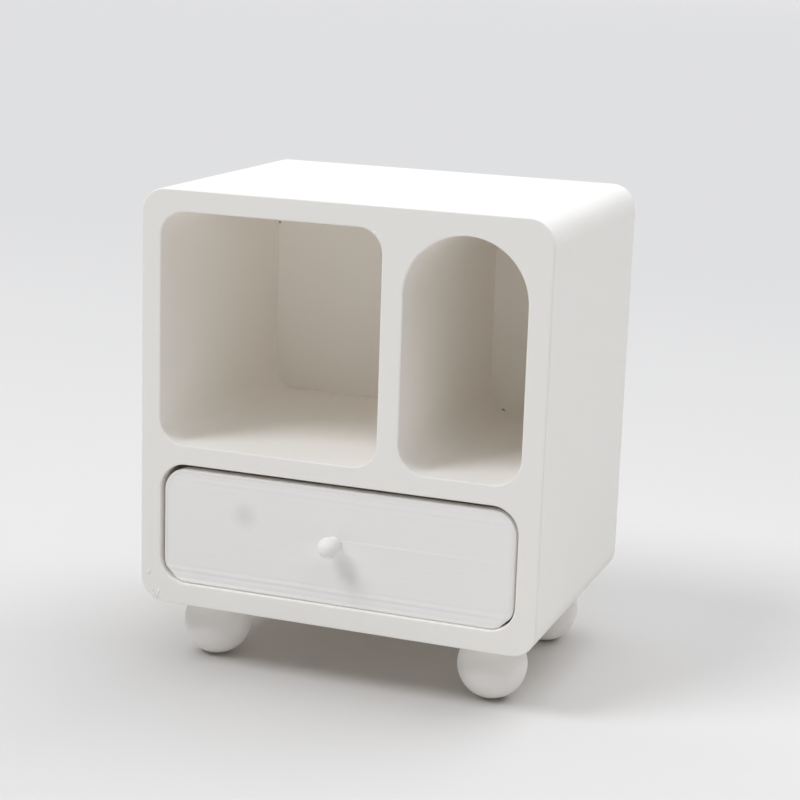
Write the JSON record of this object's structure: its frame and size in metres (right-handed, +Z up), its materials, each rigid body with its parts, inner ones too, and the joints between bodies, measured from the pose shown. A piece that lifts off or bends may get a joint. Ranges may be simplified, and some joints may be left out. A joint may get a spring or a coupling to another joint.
{
  "type": "miniature cabinet",
  "caption": "Doll's-house cabinet: rounded shell with an open square niche, an arched niche, a sliding drawer with a ball knob, and ball feet.",
  "frame": {"origin": "centre of the footprint, knob included, on the surface the feet stand on", "axes": "+Z up, -Y towards the front with the drawer, +X to the right seen from the front"},
  "size_m": [0.05, 0.0388, 0.0582],
  "materials": {
    "printed_shell": "matt white printed plastic, fine layer lines",
    "printed_drawer": "matt white printed plastic, level layer lines across the front",
    "printed_feet": "matt white printed plastic, fine upright streaks"
  },
  "bodies": {
    "cabinet": {"carcass": "printed_shell", "back_panel": "printed_shell", "foot_front_left": "printed_feet", "foot_front_right": "printed_feet", "foot_rear_left": "printed_feet", "foot_rear_right": "printed_feet"},
    "drawer": {"drawer_front": "printed_drawer", "drawer_left_side": "printed_drawer", "drawer_right_side": "printed_drawer", "drawer_back": "printed_drawer", "drawer_bottom": "printed_drawer", "drawer_knob": "printed_drawer"}
  },
  "joints": [
    {"name": "drawer_slide", "type": "slide", "parent": "cabinet", "child": "drawer", "axis": [0, -1, 0], "range_m": [0, 0.025]}
  ]
}
